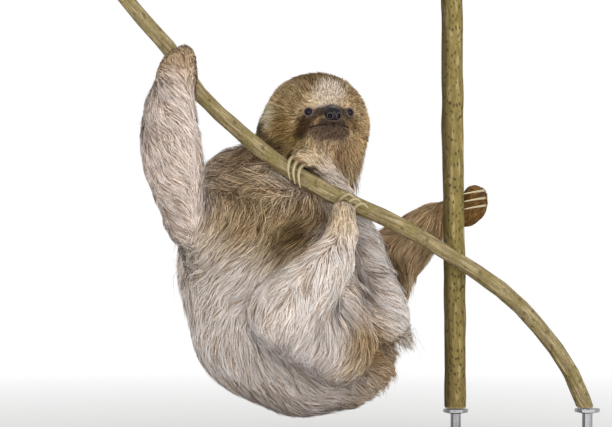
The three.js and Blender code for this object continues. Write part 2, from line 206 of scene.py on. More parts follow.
# ---- distance fields ----
class Space:
    """A block of voxels round some nodes, for signed distances in metres."""

    def __init__(self, nodes, voxel, margin):
        corners = np.array([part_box(node) for node in nodes])
        self.voxel = voxel
        self.first = np.floor((corners[:, 0].min(0) - margin) / voxel).astype(int)
        self.shape = np.ceil((corners[:, 1].max(0) + margin) / voxel).astype(int) - self.first
        self.start = tuple(int(i) for i in self.first)
        self.transform = openvdb.createLinearTransform(voxelSize=voxel)

    def places(self, indices):
        return (indices + self.first) * self.voxel

    def distances(self, points, triangles=None, quads=None, inside=THIN, outside=THIN):
        """Signed distance from a closed mesh, up to inside and outside."""
        grid = openvdb.FloatGrid.createLevelSetFromPolygons(
            np.ascontiguousarray(points, np.float32), triangles=triangles, quads=quads,
            transform=self.transform, exBandWidth=outside / self.voxel, inBandWidth=inside / self.voxel)
        values = np.empty(tuple(self.shape), np.float32)
        grid.copyToArray(values, ijk=self.start)
        return values

    def union(self, nodes, **reach):
        return np.minimum.reduce([self.distances(*mesh_of(node), **reach) for node in nodes])

    def surface(self, values):
        """Points and quads of the mesh where the values are 0."""
        grid = openvdb.FloatGrid(float(values.max()))
        grid.copyFromArray(np.ascontiguousarray(values, np.float32), ijk=self.start)
        grid.transform = self.transform
        points, _, quads = grid.convertToPolygons(isovalue=0, adaptivity=0)
        return points, quads

    def at(self, values, p):
        """The values at any points, by linear interpolation."""
        q = p / self.voxel - self.first
        low = np.clip(np.floor(q).astype(int), 0, self.shape - 2)
        f = np.clip(q - low, 0, 1)
        total = 0
        for corner in np.ndindex(2, 2, 2):
            i = low + corner
            weight = np.prod(np.where(corner, f, 1 - f), axis=1)
            found = values[tuple(i.T)]
            total = total + (found * weight[:, None] if found.ndim > 1 else found * weight)
        return total


def soften(values, passes):
    for _ in range(passes):
        for axis in range(3):
            a = np.moveaxis(values, axis, 0)
            a[1:-1] = (a[:-2] + 2 * a[1:-1] + a[2:]) / 4
    return values


BODY = Space(FLESH + CLAWS, VOXEL, MARGIN)
COARSE = Space(FLESH + CLAWS, COARSE_VOXEL, MARGIN)
near_nodes = np.stack([COARSE.distances(*mesh_of(n), inside=40 * MM, outside=MARGIN) for n in FLESH], -1)


def shares(p):
    """How much each node of FLESH counts at each point: the nearest counts most."""
    d = COARSE.at(near_nodes, p)
    weight = np.exp(-(d - d.min(1, keepdims=True)) / (5 * MM))
    return weight / weight.sum(1, keepdims=True)


# ---- the head's own axes ----
EYES = {side: centre("eye_" + side) for side in SIDES}
EYE_RADIUS = float(np.ptp(np.array(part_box("eye_right")), axis=0).mean() / 2)
NOSE = centre("nose_pad")
NOSE_DROP = math.radians(15.9)  # of the nose below the gaze, seen from between the eyes
EYES_AHEAD, EYES_ABOVE = 42.8, 3.4  # millimetres from the middle of the head
between_eyes = (EYES["right"] + EYES["left"]) / 2
LEFTWARD = unit(EYES["left"] - EYES["right"])
to_nose = unit(flat_to(NOSE - between_eyes, LEFTWARD))
above_nose = np.cross(to_nose, LEFTWARD)
FORWARD = math.cos(NOSE_DROP) * to_nose + math.sin(NOSE_DROP) * above_nose
UPWARD = np.cross(FORWARD, LEFTWARD)
HEAD_AXES = np.stack([LEFTWARD, FORWARD, UPWARD])
HEAD_MIDDLE = between_eyes - FORWARD * EYES_AHEAD * MM - UPWARD * EYES_ABOVE * MM
MIDFACE = (0, 50, -5)  # in the head's axes, in millimetres


def in_head(p, start=HEAD_MIDDLE):
    """Points as (leftward, forward, upward) from the head's middle or another start, in millimetres."""
    return (p - start) @ HEAD_AXES.T / MM


def near_face(p):
    """Distance from the middle of the face, in millimetres."""
    return norm(in_head(p) - MIDFACE)


# ---- joints of the body ----
def claw_root(claw):
    """Where a claw leaves its finger: the end that is nearest to the middle of the hand or foot."""
    points = mesh_of(claw)[0].astype(float)
    away = norm(points - centre(holder(claw)))
    return points[away < away.min() + 2.5 * MM].mean(0)


def holder(claw):
    return claw.replace("claw_", "")[:-2]


def fingers(node):
    return np.mean([claw_root(claw) for claw in CLAWS if holder(claw) == node], axis=0)


JOINT = {"nape": meeting("head", "neck"), "neck": meeting("neck", "trunk"), "tail": meeting("tail", "trunk")}
for side in SIDES:
    JOINT["shoulder_" + side] = meeting("upper_arm_" + side, "trunk")
    JOINT["hip_" + side] = meeting("thigh_" + side, "trunk")
    for joint, a, b in (("elbow", "upper_arm", "forearm"), ("wrist", "forearm", "hand"),
                        ("knee", "thigh", "shank"), ("ankle", "shank", "foot")):
        JOINT[f"{joint}_{side}"] = meeting(f"{a}_{side}", f"{b}_{side}")
    JOINT["fingers_" + side] = fingers("hand_" + side)
    JOINT["toes_" + side] = fingers("foot_" + side)

RIGHT, FRONT, DOWN = np.array([[1, 0, 0], [0, -1, 0], [0, 0, -1]], float)  # for the camera
CURL = (JOINT["neck"] + JOINT["tail"]) / 2  # what the back curls round


def way(a, b):
    return unit(JOINT[b] - JOINT[a])


def beside(joint, offset):
    """The point that lies so many millimetres from a joint."""
    return JOINT[joint] + np.array(offset) * MM


def from_point(p, joint, offset, reach=1):
    """Distance of each point from the point beside a joint, in millimetres."""
    return norm(((p - JOINT[joint]) / MM - offset) * reach)


# ---- the skin ----
DEPTH = {"head": 7.5, "neck": 10, "trunk": 12, "tail": 4, "upper_arm": 8, "forearm": 6, "hand": 1.2,
         "thigh": 9, "shank": 6.5, "foot": 1.2}  # of the coat, in millimetres
FACE_DEPTH = 0.9
PALM, FINGER = 4.5 * MM, 3.4 * MM  # radius of a finger under the coat, in the palm and at the claw
PERCH = ["perch_vine", "perch_post"]
COAT_CLEAR, SKIN_CLEAR = 0.8 * MM, 2 * MM  # of the perch
# Long hair fills the creases of the body up to this radius, and less or not at all beside the nodes of OPEN.
CREASE = 27 * MM
OPEN = {"head": 1, "forearm_left": 0.9, "hand_left": 1, "hand_right": 1, "foot_left": 1, "foot_right": 1,
        "forearm_right": 0.6}
# The drawn-up leg stands clear of the belly along this line, from one joint's offset to another's.
LEG_LINE = [("shoulder_right", (45, -14, -30)), ("knee_right", (-27, 30, 12))]
# Masses of long hair: from the raised elbow to the flank, and from the left cheek down the throat. Each end
# is an offset from a joint and a radius, in millimetres.
MASSES = [(("elbow_right", (8, 12, -12), 15), ("elbow_right", (18, 88, -56), 25)),
          (("elbow_right", (4, 28, -22), 11), ("elbow_right", (7, 72, -44), 14)),
          (("nape", (28, -8, 12), 12), ("nape", (24, -8, -24), 12))]
BAND = 34 * MM  # how far on each side of the outline the skin is worked out
DEEP = 62 * MM  # reach of the fields of the filled creases and of the perch


def kind(node):
    return node.replace("_right", "").replace("_left", "")


def by_node(table):
    return np.array([table[kind(node)] for node in FLESH], float)


def coat_depth(p):
    depth = shares(p) @ by_node(DEPTH)
    return mix(FACE_DEPTH, depth, step(17, 44, near_face(p))) * MM


def capsule(p, a, b, radius_a, radius_b):
    """Signed distance from a tapered rod with round ends."""
    axis = np.subtract(b, a)
    t = np.clip((p - a) @ axis / (axis @ axis), 0, 1)
    return norm(p - a - t[:, None] * axis) - mix(radius_a, radius_b, t)


def soft_min(a, b, blend):
    h = np.maximum(blend - np.abs(a - b), 0) / blend
    return np.minimum(a, b) - h * h * blend / 4


def closed(values, radius, inside, outside):
    """A field of the body in which gaps narrower than twice the radius are filled."""
    points, quads = BODY.surface(values - radius)
    return BODY.distances(points, quads=quads, inside=inside, outside=outside) + radius


def skin_field():
    """Signed distances from the skin and from the tips of the coat. The flesh's cuts are closed, its creases
    are filled with hair, and the skin lies in from there by the coat's depth."""
    whole = soften(closed(BODY.union(FLESH + CLAWS + HEAD_PIECES), GAP, BAND, BAND + 8 * MM), 1)
    filled = closed(whole, CREASE, DEEP, BAND)
    perch = BODY.union(PERCH, outside=DEEP)
    near = np.argwhere(np.abs(whole) < BAND)
    places = BODY.places(near)
    at = tuple(near.T)
    kept_open = shares(places) @ [OPEN.get(node, 0) for node in FLESH]
    leg = capsule(places, *[beside(*place) for place in LEG_LINE], 0, 0)
    kept_open += 0.5 * step(26, 12, leg / MM)
    fill = np.clip(whole[at] - filled[at], 0, CREASE) * (1 - np.minimum(2 * kept_open, 1))
    outline = whole.copy()
    hairy = whole[at] - fill
    for (joint_a, a, radius_a), (joint_b, b, radius_b) in MASSES:
        mass = capsule(places, beside(joint_a, a), beside(joint_b, b), radius_a * MM, radius_b * MM)
        hairy = soft_min(hairy, mass, 8 * MM)
    outline[at] = np.maximum(hairy, COAT_CLEAR - perch[at])
    inner = np.maximum(outline[at] + coat_depth(places), SKIN_CLEAR - perch[at])
    for claw in CLAWS:
        finger = capsule(places, centre(holder(claw)), claw_root(claw), PALM, FINGER)
        inner = soft_min(inner, finger, 4 * MM)
    whole[at] = inner
    whole[whole >= BAND] += 6 * MM  # so that the field still rises at the edge of the band
    return soften(whole, 2), outline


skin_values, outline_values = skin_field()


def flesh(p):
    """Signed distance from the plain skin, in metres."""
    return BODY.at(skin_values, p)


HARD = Space(FLESH + CLAWS, HARD_VOXEL, MARGIN)
hard_values = HARD.union(PERCH + CLAWS + HEAD_PIECES, outside=4.5 * MM, inside=30 * MM)


def slope(field, p, h=1.5 * MM):
    """The way out of a field: its unit gradient."""
    offsets = np.eye(3) * h
    return unit(np.stack([field(p + o) - field(p - o) for o in offsets], -1))


def smooth_flesh(p):
    """The flesh's field without the facets of its voxels."""
    return sum(flesh(p + (np.array(corner) - 0.5) * VOXEL) for corner in np.ndindex(2, 2, 2)) / 8


EYE_AIM = {side: unit(FORWARD + LEFTWARD * turn + UPWARD * 0.05) for side, turn in zip(SIDES, (-0.42, 0.42))}
LID = 3.4  # radius of the opening of the lids, in millimetres
RIM = 3.7  # how far the rim of the lids stands before the eye's middle
LIP_ENDS = 20  # of the lips, sideways from the middle of the head
# The lips and the crease between them: height above their line, how far they stand out, softness.
LIPS = [(0, -1.9, 0.9), (2.6, 0.9, 1.6), (-2.8, 0.7, 1.6)]


def eye_axes(p, side):
    """How far p lies in front of the eye's middle, and off its axis sideways and upward, in millimetres."""
    offset = (p - EYES[side]) / MM
    across = unit(flat_to(LEFTWARD, EYE_AIM[side]))
    return offset @ EYE_AIM[side], offset @ across, offset @ np.cross(EYE_AIM[side], across)


def mouth_line(u):
    """Height above the line of the lips, and how far along it, of points in the head's axes."""
    return u[:, 2] + 10.6 - 0.006 * u[:, 0] ** 2 + 0.000022 * u[:, 0] ** 4, np.abs(u[:, 0])


def relief(p):
    """How far the folds of the face stand out of the plain flesh, in millimetres."""
    u = in_head(p)
    front = step(20, 34, u[:, 1])
    height, along = mouth_line(u)
    lips = front * step(22, 17, along)
    out = 0
    for middle, amount, size in LIPS:
        out += lips * amount * np.exp(-((height - middle) / size) ** 2)
    dent_over_nose = np.exp(-(u[:, 0] / 7) ** 2 - ((u[:, 2] - 13) / 5) ** 2)
    return out - front * 0.8 * dent_over_nose


def lid_height(off):
    """Height of the lids in front of the eye's middle, by the distance off the eye's axis."""
    outside = off - LID
    return np.where(off < LID, RIM - 2.2 * (LID - off), RIM - 0.06 * outside**2 - 0.3 * outside)


def shape_face(p):
    """Points near the face, moved out from the flesh to its lips, folds and lids."""
    p = p + slope(smooth_flesh, p, 1.2 * MM) * relief(p)[:, None] * MM
    for side in SIDES:
        ahead, x, z = eye_axes(p, side)
        off = np.hypot(x / 1.08, z / 0.95)
        share = step(11.5, 6, off) * step(-6, -2, ahead)
        p = p + EYE_AIM[side] * ((lid_height(off) - ahead) * share * MM)[:, None]
    return p


def near_lids(p):
    """Distance from the middle of the nearer eye's lids, in millimetres."""
    return np.minimum(*[norm(p - EYES[side] - EYE_AIM[side] * 3 * MM) / MM for side in SIDES])


def near_lips(p):
    """Distance from the line of the lips, in millimetres, and far for what isn't in front."""
    u = in_head(p)
    height, along = mouth_line(u)
    return np.where(u[:, 1] > 28, np.hypot(height, np.maximum(along - LIP_ENDS, 0)), 99)


def refine(mesh, inside):
    """Every edge whose two ends lie inside is cut in two, and its faces with it."""
    work = bmesh.new()
    work.from_mesh(mesh)
    work.verts.ensure_lookup_table()
    chosen = inside(np.array([v.co for v in work.verts]))
    edges = [e for e in work.edges if chosen[e.verts[0].index] and chosen[e.verts[1].index]]
    bmesh.ops.subdivide_edges(work, edges=edges, cuts=1, use_grid_fill=True)
    bmesh.ops.triangulate(work, faces=[f for f in work.faces if len(f.verts) > 4])
    work.to_mesh(mesh)
    work.free()


def relax(mesh, chosen, rounds):
    """Moves the chosen vertices to the middle of their neighbours, to take out the facets of the voxels."""
    ends = np.empty(len(mesh.edges) * 2, np.int32)
    mesh.edges.foreach_get("vertices", ends)
    a, b = ends.reshape(-1, 2).T
    p = vertices_of(mesh)
    count = np.bincount(ends, minlength=len(p))[:, None]
    for _ in range(rounds):
        total = np.zeros_like(p)
        np.add.at(total, a, p[b])
        np.add.at(total, b, p[a])
        p[chosen] = (total / count)[chosen]
    return p


# Where the mesh is refined, in millimetres from the face, lids and lips, and how often it is then relaxed.
REFINED = [(lambda p: near_face(p) < 46, 4), (lambda p: near_face(p) < 38, 8),
           (lambda p: (near_lids(p) < 9.5) | (near_lips(p) < 4.5), 6)]


def make_skin():
    mesh = mesh_from("skin", *BODY.surface(skin_values))
    for inside, rounds in REFINED:
        refine(mesh, inside)
        p = relax(mesh, near_face(vertices_of(mesh)) < 48, rounds)
        move(mesh, p)
    near = near_face(p) < 46
    p[near] = shape_face(p[near])
    move(mesh, p)
    smooth(mesh)
    mesh.update()
    return link("skin", mesh)


skin = make_skin()
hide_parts(*FLESH)


# ---- the lie of the hair ----
# The head and the trunk have functions of their own.
LIE = {"neck": DOWN + 0.15 * way("nape", "neck"), "tail": unit(centre("tail") - JOINT["tail"]) + 0.5 * DOWN}
# From joint to joint, and how far the hair runs that way, rightward, frontward and down, on each side.
LIMB_LIE = {"upper_arm": ("shoulder", "elbow", (0.5, 0, 0, 1), (1, 0, 0, 0.3)),
            "forearm": ("wrist", "elbow", (1, 0, 0.3, 0), (0.3, 0.9, 0, 0.3)),
            "hand": ("fingers", "wrist", (1, 0, 0.3, 0), (1, 0, 0, 0.2)),
            "thigh": ("hip", "knee", (0.15, 0, 0, 1), (0.2, -0.3, 0, 0.8)),
            "shank": ("ankle", "knee", (1, 0, 0, 0.25), (0.5, -0.3, 0, 0.8)),
            "foot": ("toes", "ankle", (1, 0, 0, 0), (1, 0, 0, 0.3))}
for part, (start, end, *runs) in LIMB_LIE.items():
    for side, run in zip(SIDES, runs):
        along = way(f"{start}_{side}", f"{end}_{side}")
        LIE[f"{part}_{side}"] = run @ np.stack([along, RIGHT, FRONT, DOWN])
# Parts of the right limbs whose hair meets in a V: joints, where across the limb it meets, lean on each side.
SWEEP = {"forearm": ("wrist", "elbow", 12, 0.62, -0.35), "hand": ("wrist", "elbow", 12, 0.5, -0.2),
         "shank": ("ankle", "knee", -4, -0.2, 0.55), "thigh": ("ankle", "knee", -22, 0.5, 0.1)}
LIE_TABLE = np.array([LIE.get(node, 0 * DOWN) for node in FLESH])
HEAD, TRUNK = FLESH.index("head"), FLESH.index("trunk")


def trunk_lie(p):
    """From the belly round to the back, and along the curled back to the tail."""
    outward = p - CURL
    outward[:, 1] = 0
    outward = unit(outward)
    tailward = np.cross(outward, [0, 1, 0])
    outward[:, 2] = np.minimum(outward[:, 2], 0)
    return 0.8 * tailward + 0.55 * outward


def head_lie(p):
    """Away from the nose, and down below the cheeks."""
    u = in_head(p)
    return unit(p - NOSE) + DOWN * (0.9 * step(8, 40, -u[:, 2]))[:, None]


def sweep(p, share):
    """The sideways lean of the hair on limbs where it meets in a V."""
    lean = np.zeros(len(p))
    for part, (start, end, ridge, near, far) in SWEEP.items():
        a, b = JOINT[end + "_right"], JOINT[start + "_right"]
        t = np.clip((p[:, 2] - a[2]) / (b[2] - a[2]), 0, 1)
        side = step(-9, 9, (p[:, 0] - mix(a[0], b[0], t)) / MM - ridge)
        lean += share[:, FLESH.index(part + "_right")] * mix(near, far, side)
    return lean[:, None] * RIGHT


def lie(p, n, share, tousle):
    flow = share @ LIE_TABLE + share[:, [TRUNK]] * trunk_lie(p) + share[:, [HEAD]] * head_lie(p)
    flow += sweep(p, share)
    flow = unit(flow) + tousle * (ripple3(p, 38 * MM, 5) * 0.22 + ripple3(p, 13 * MM, 6) * 0.16)
    return unit(flat_to(flow, n))


# ---- colours by place ----
HUE = {"head": (186, 165, 128), "neck": (178, 154, 118), "trunk": (251, 243, 238), "tail": (206, 182, 146)}
# The right limbs' and the left limbs'.
LIMB_HUE = {"upper_arm": ((164, 144, 116), (232, 214, 190)), "forearm": ((232, 218, 209), (255, 249, 246)),
            "hand": ((184, 161, 131), (238, 218, 186)), "thigh": ((255, 248, 246), (190, 164, 128)),
            "shank": ((242, 234, 228), (194, 168, 131)), "foot": ((216, 203, 183), (126, 95, 51))}
HUE_TABLE = linear([*HUE.values(), *[LIMB_HUE[part][side] for side in (0, 1) for part in LIMB]])


def layered(colours, layers):
    """Linear colours with others laid over them, each by its share at every point."""
    for rgb, share in layers:
        colours = mix(colours, linear(rgb), share[:, None])
    return colours


def both(start, end, *rest):
    """A mark of the right half of the face and its mirror image on the left."""
    return [((sign * start[0], *start[1:]), (sign * end[0], *end[1:]), *rest) for sign in (-1, 1)]


# Marks of the head, in its own axes, in millimetres: from, to, radius, soft edge, colour, strength.
HEAD_MARKS = [
    ((0, -6, 50), (0, 28, 44), 24, 24, (112, 91, 58), 1),
    ((-34, 24, 26), (-30, 30, 22), 12, 16, (148, 128, 92), 0.9),
    ((34, 24, 26), (30, 30, 22), 12, 16, (160, 136, 100), 0.9),
    ((-40, 20, -4), (-30, 24, -24), 16, 16, (150, 127, 80), 1),
    ((40, 20, -4), (30, 24, -24), 16, 16, (198, 172, 130), 0.9),
    ((-54, -4, 20), (-49, 8, 6), 10, 11, (218, 211, 184), 1),
    # Painted shade: the dark band under the right cheek, where the head shades the neck down to the vine.
    ((-56, -19, -2), (-44, 4, -21), 12, 9, (70, 58, 32), 1),
    ((-4, 51, 17), (6, 42, 30), 13, 17, (238, 225, 208), 1),
    ((-24, 46, 12), (24, 46, 12), 2.5, 6, (212, 192, 160), 0.9),
    ((0, 26, -40), (0, 6, -52), 22, 20, (164, 136, 102), 0.9),
    *both((22, 42, -8), (12, 50, -6), 6, 7, (142, 120, 84), 0.9),
    *both((11, 46, -16), (0, 54, -17), 9, 8, (104, 87, 73), 1),
    ((-20, 44, -2), (-28, 38, -15), 7, 6, (68, 50, 28), 1),
    ((20, 44, -1), (26, 39, -10), 4, 6, (104, 80, 52), 0.9),
    *both((18, 47, 1), (8, 53, 2), 5.5, 5, (80, 66, 52), 1),
    *both((9, 54, -9), (0, 60, -9), 5, 5, (78, 64, 54), 1),
    ((-5, 57, 7), (5, 57, 7), 6, 7, (84, 76, 72), 1),
]
# Marks of the body: joint, offset in millimetres, radius, soft edge, colour, strength.
BODY_MARKS = [
    ("neck", (-56, -30, 10), 34, 34, (158, 135, 100), 0.9),
    ("elbow_right", (12, 34, -32), 32, 22, (240, 231, 222), 1),
    ("shoulder_right", (14, -30, -10), 34, 40, (160, 140, 108), 1),
    ("shoulder_right", (32, -20, -28), 22, 24, (156, 132, 94), 1),
    ("shoulder_right", (44, 10, -6), 20, 20, (150, 128, 94), 1),
    ("shoulder_right", (32, -8, -22), 14, 14, (72, 57, 32), 1),
    ("hip_right", (46, 10, -12), 24, 34, (176, 148, 106), 1),
    ("tail", (8, -30, 22), 16, 24, (172, 144, 102), 1),
    ("elbow_left", (-14, -60, -40), 14, 24, (200, 176, 138), 0.8),
    ("ankle_right", (-8, -12, 20), 16, 16, (198, 178, 146), 0.7),
    # Painted shade: a dark line in the crease between the right leg and the left forearm.
    ("shoulder_left", (22, -28, -2), 8, 9, (44, 32, 16), 1),
    ("shoulder_left", (26, -38, -21), 7, 9, (44, 32, 16), 1),
    ("shoulder_left", (32, -52, -36), 6, 9, (60, 44, 24), 1),
    # Painted shade: the dark gap between the left forearm and the left knee.
    ("knee_left", (-14, -24, -22), 20, 16, (84, 66, 40), 1),
    ("knee_left", (12, -16, -38), 9, 14, (220, 202, 178), 1),
]
MARK_REACH = (1, 0.45, 1)  # marks go deeper from front to back


def coat_colour(p, share):
    """Linear colour of the outer coat at each point."""
    u = in_head(p)
    on_head = share[:, HEAD] + share[:, FLESH.index("neck")]
    marks = [(rgb, strength * fade(capsule(u, start, end, radius, radius), soft) * on_head)
             for start, end, radius, soft, rgb, strength in HEAD_MARKS]
    marks += [(rgb, strength * fade(from_point(p, joint, offset, MARK_REACH) - radius, soft))
              for joint, offset, radius, soft, rgb, strength in BODY_MARKS]
    return layered(share @ HUE_TABLE, marks)


# ---- the coat ----
# Length, width and spacing of the tufts in millimetres, how messy they lie, how far they gather in locks.
COAT = {
    "head": (12.5, 0.5, 0.84, 1.1, 0.35), "neck": (26, 0.68, 1.2, 1.1, 0.45),
    "trunk": (38, 0.86, 1.6, 1.1, 0.5), "tail": (14, 0.7, 1.2, 1.0, 0.4),
    "upper_arm": (34, 0.78, 1.3, 1.1, 0.5), "forearm": (28, 0.72, 1.2, 1.0, 0.5),
    "thigh": (34, 0.78, 1.3, 1.1, 0.5), "shank": (30, 0.76, 1.25, 1.0, 0.5),
    "hand": (10, 0.62, 0.85, 0.9, 0.35), "foot": (10, 0.62, 0.85, 0.9, 0.35),
}
COAT_TABLE = by_node(COAT)
GUIDE_SPACING = 6.5 * MM
TUFTS_PER_PIECE = 12000
PATCH = 0.003  # of a tuft on its piece's unwrap
RIDGE, SLIMMER = 0.42, 0.75  # a tuft's height, and its width past the first ring, as shares of its width
FACE_LENGTH, FACE_WIDTH, FACE_SPACING = 3.2, 0.5, 0.66  # in millimetres, in the middle of the face
TRIM = 0.2  # off the length of the hair away from the face
LENGTHS, WIDTHS, HEIGHTS = (0.72, 1.2), (0.7, 1.25), (0.55, 1.15)  # by chance, as shares of the plain ones
TURNS, ROLLS = 0.13, 0.45  # by chance, of a tuft sideways and round its own axis
CLEAR = 0.3 * MM  # of a tuft from the hard pieces
NOSE_BARE = (8.4, 7, 7.8)  # reach of the bare skin round the nose, in the head's axes
# Where long hair hangs free: joint, offset in millimetres, radius, soft edge, strength.
HANGING = [("elbow_left", (10, -6, -10), 22, 18, 1), ("tail", (20, -20, 6), 24, 24, 0.5),
           ("nape", (38, -10, -18), 22, 20, 0.8), ("nape", (42, -12, 10), 12, 16, 1),
           ("knee_left", (10, -10, -30), 16, 16, 0.9)]
TOUSLED = (-45, -30, 5)  # the middle of the messy hair of the chest, from the neck's joint
SOFTNESS = 0.9  # how far a tuft's normals lean to the skin's
STRAYS, HEAD_STRAYS = 0.003, 5  # share of hairs twice as long that stand off, how many more the head has
# A tuft's colour from its root to its tip: brown below, paler at the tip.
GRADIENT = linear([(206, 188, 172), (238, 230, 222), (252, 250, 248), (255, 255, 255)]) * 1.1
DARK = np.array([0.5, 0.41, 0.33])  # hairs of the undercoat
DARK_SHARE, MORE_DARK = 0.27, 0.12  # share of such hairs, and how many more among messy hair
PALE, NOT_PALE = 1.45, 0.86  # pale hairs, and the share of hairs that aren't
PALEST = 0.9  # the brightest channel of any hair
CONTRAST, HEAD_CONTRAST = 1.25, 0.2  # of dark and pale hairs, and how much more the head has
RUN = 0.6  # how much a hair takes the colour of the places it runs over


def roots_on(mesh):
    """Roots spread over the skin, closer together where the coat is finer."""
    corners = vertices_of(mesh)[triangles_of(mesh)]
    middle = corners.mean(1)
    first = corners[:, 0]
    edge_a, edge_b = corners[:, 1] - first, corners[:, 2] - first
    facing = np.cross(edge_a, edge_b)
    spacing = shares(middle) @ COAT_TABLE[:, 2]
    spacing = mix(FACE_SPACING, spacing, step(18, 46, near_face(middle))) * MM
    total = np.cumsum(norm(facing) / 2 / spacing**2)
    chosen = np.searchsorted(total, np.arange(0.5, total[-1]))
    a, b = rng.random(len(chosen)), rng.random(len(chosen))
    flip = a + b > 1
    a[flip], b[flip] = 1 - a[flip], 1 - b[flip]
    roots = first[chosen] + edge_a[chosen] * a[:, None] + edge_b[chosen] * b[:, None]
    bare = (near_lids(roots) < 4.7) | (near_lips(roots) < 1.0)
    bare |= norm(in_head(roots, NOSE) / NOSE_BARE) < 1
    return roots[~bare], unit(facing[chosen][~bare])


def lead(roots, length, height, follow, tousle, hang, segments):
    """Leads tufts over the skin and holds them, as far as follow says, at their height over it. Returns their
    points, (segments + 1) x tufts x 3."""
    p, base = roots, flesh(roots)
    points = [p]
    for k in range(1, segments + 1):
        t = k / segments
        n = slope(flesh, p)
        ahead = lie(p, n, shares(p), tousle[:, None])
        ahead = unit(ahead + (hang * t)[:, None] * (1.6 * DOWN + 0.5 * n))
        p = p + ahead * (length / segments)[:, None]
        rise = base + height * (1 - (1 - t) ** 2) - flesh(p)
        p = p + slope(flesh, p) * (rise * (1 if k == 1 else follow))[:, None]
        points.append(p)
    return np.stack(points)


def guides_of(roots, spacing):
    """For each root, which of a sparser set of roots is nearest."""
    guides = np.unique(np.floor(roots / spacing).astype(int), axis=0, return_index=True)[1]
    tree = KDTree(len(guides))
    for i, g in enumerate(guides):
        tree.insert(roots[g], i)
    tree.balance()
    return guides[[tree.find(r)[1] for r in roots]]


def tuft_mesh(name, points, up, lean, width, tint, place):
    """Closed locks of three sides, pointed at both ends. points is rows x tufts x 3, place each root's place
    on the unwrap."""
    rings, tufts = len(points) - 2, points.shape[1]
    size = rings * 3 + 2
    t = np.arange(rings + 2) / (rings + 1)
    ahead = unit(np.gradient(points, axis=0))
    across = unit(np.cross(ahead, up))
    above = np.cross(across, ahead)
    verts, normals, shade = np.empty((3, tufts, size, 3), np.float32)
    uv = np.empty((tufts, size, 2), np.float32)
    spots = [(row, x, z) for row in range(1, rings + 1) for x, z in ((-0.5, 0), (0.5, 0), (0, RIDGE))]
    for i, (row, x, z) in enumerate(spots + [(0, 0, 0), (-1, 0, 0)]):
        w = (width * (1.0 if row == 1 else SLIMMER))[:, None]
        own = unit(across[row] * 2 * x + above[row] * (2.4 * z - 0.2)) if x or z else above[row]
        verts[:, i] = points[row] + (across[row] * x + above[row] * z) * w
        normals[:, i] = unit(own + lean)
        uv[:, i] = place + np.array([x, t[row] - 0.5]) * PATCH
        shade[:, i] = tint[row]
    sides = ((1, 0), (2, 1), (0, 2))
    quads = [(3 * k + a, 3 * k + b, 3 * k + 3 + b, 3 * k + 3 + a) for k in range(rings - 1) for a, b in sides]
    tris = [(b, a, size - 2) for a, b in sides]
    tris += [(size - 5 + a, size - 5 + b, size - 1) for a, b in sides]
    loops = np.arange(tufts)[:, None] * size + [i for face in quads + tris for i in face]
    sizes = np.tile([4] * len(quads) + [3] * len(tris), tufts)
    mesh = bpy.data.meshes.new(name)
    mesh.vertices.add(tufts * size)
    move(mesh, verts)
    mesh.loops.add(loops.size)
    mesh.loops.foreach_set("vertex_index", loops.ravel().astype(np.int32))
    mesh.polygons.add(len(sizes))
    mesh.polygons.foreach_set("loop_start", np.concatenate([[0], np.cumsum(sizes)[:-1]]).astype(np.int32))
    smooth(mesh)
    layer = mesh.uv_layers.new(name="OFBake")
    layer.data.foreach_set("uv", uv.reshape(-1, 2)[loops.ravel()].ravel())
    paint(mesh, shade.reshape(-1, 3))
    mesh.update(calc_edges=True)
    soft = mesh.attributes.new("custom_normal", "FLOAT_VECTOR", "POINT")
    soft.data.foreach_set("vector", normals.ravel())
    return mesh


def unwrap(p):
    """Places round and along the long axis of a part of the skin, 0 to 1."""
    middle = p.mean(0)
    _, _, axes = np.linalg.svd(p[:: max(1, len(p) // 4000)] - middle, full_matrices=False)
    q = (p - middle) @ axes.T
    around = np.arctan2(q[:, 1], q[:, 2]) / (2 * math.pi) + 0.5
    along = (q[:, 0] - q[:, 0].min()) / np.ptp(q[:, 0])
    return 0.02 + 0.96 * np.stack([around, along], -1)


def hair_shade(roots, share, tousled):
    """How dark or pale each hair is: by chance, and in soft patches."""
    luck = rng.random((len(roots), 1))
    dark = luck < DARK_SHARE + MORE_DARK * tousled[:, None]
    tone = np.where(dark, DARK, np.where(luck > NOT_PALE, PALE, 1))
    shade = rng.uniform(0.82, 1.15, (len(roots), 1)) * tone
    shade *= 1 + (0.1 * ripple(roots, 22 * MM, 71) + 0.12 * ripple(roots, 7 * MM, 72))[:, None]
    return shade ** (CONTRAST + HEAD_CONTRAST * share[:, [HEAD]])


def hanging(roots):
    return np.maximum.reduce([strength * fade(from_point(roots, joint, offset) - radius, soft)
                              for joint, offset, radius, soft, strength in HANGING])


def gradient_rows(count):
    """The colours of the gradient at so many points along a tuft."""
    rows = np.linspace(0, 1, count) * (len(GRADIENT) - 1)
    return np.stack([np.interp(rows, np.arange(len(GRADIENT)), channel) for channel in GRADIENT.T], -1)


